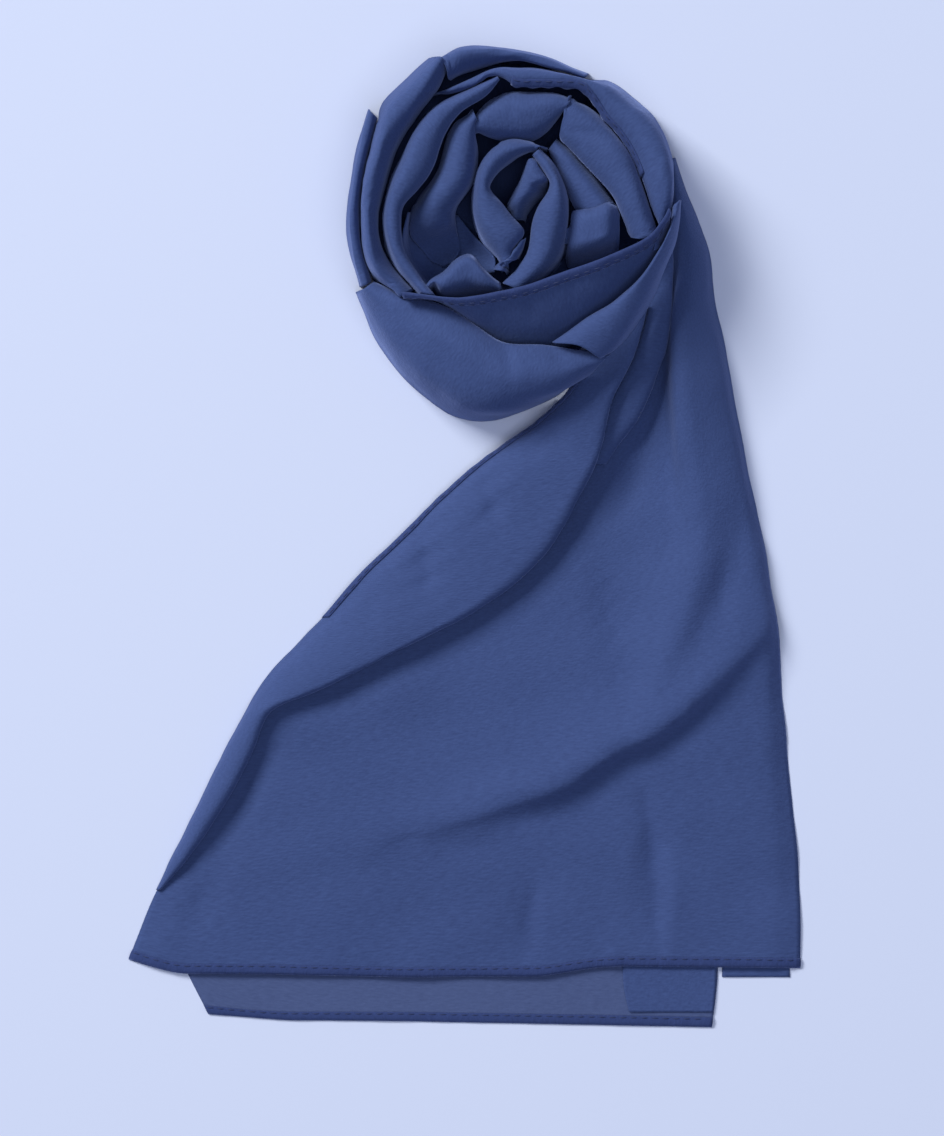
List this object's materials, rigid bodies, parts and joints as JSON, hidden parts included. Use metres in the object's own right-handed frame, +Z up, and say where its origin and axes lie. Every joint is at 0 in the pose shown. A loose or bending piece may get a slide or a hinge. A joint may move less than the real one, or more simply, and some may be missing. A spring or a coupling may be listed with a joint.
{
  "type": "georgette scarf",
  "caption": "Long sheer crepe scarf laid flat, one end wound into a rose and the rest fanned out as a hemmed, doubled tail.",
  "frame": {"origin": "on the surface it lies on, under the middle of the whole scarf's outline", "axes": "+Y from the tail's end hem towards the rose, +X to the right seen from above, +Z up from the surface"},
  "size_m": [0.3369, 0.4901, 0.0595],
  "materials": {
    "georgette": "matt crepe georgette, dusk blue",
    "georgette_layers": "stacked layers of the same georgette, deeper in tone",
    "hem": "narrow rolled and machine-stitched georgette hem"
  },
  "bodies": {
    "root": {"rose_core": "georgette_layers", "under_panel": "georgette", "turned_edge": "georgette", "tail_panel": "georgette", "tail_band": "georgette", "narrow_fold": "georgette", "front_band": "georgette", "front_wrap": "georgette", "outer_wrap": "georgette", "second_wrap": "georgette", "hemmed_wrap": "georgette", "back_wrap": "georgette", "crown_wrap": "georgette", "inner_wrap_top": "georgette", "inner_wrap_left": "georgette", "basin": "georgette", "lower_petal": "georgette", "bud_ring": "georgette", "bud_right": "georgette", "bud_fold": "georgette", "bud_lower": "georgette", "right_petal": "georgette", "inner_petal": "georgette", "cheek_petal": "georgette", "twist": "georgette", "end_hem": "hem", "under_hem": "hem", "side_hem": "hem", "front_hem": "hem", "crown_hem": "hem"}
  },
  "joints": []
}
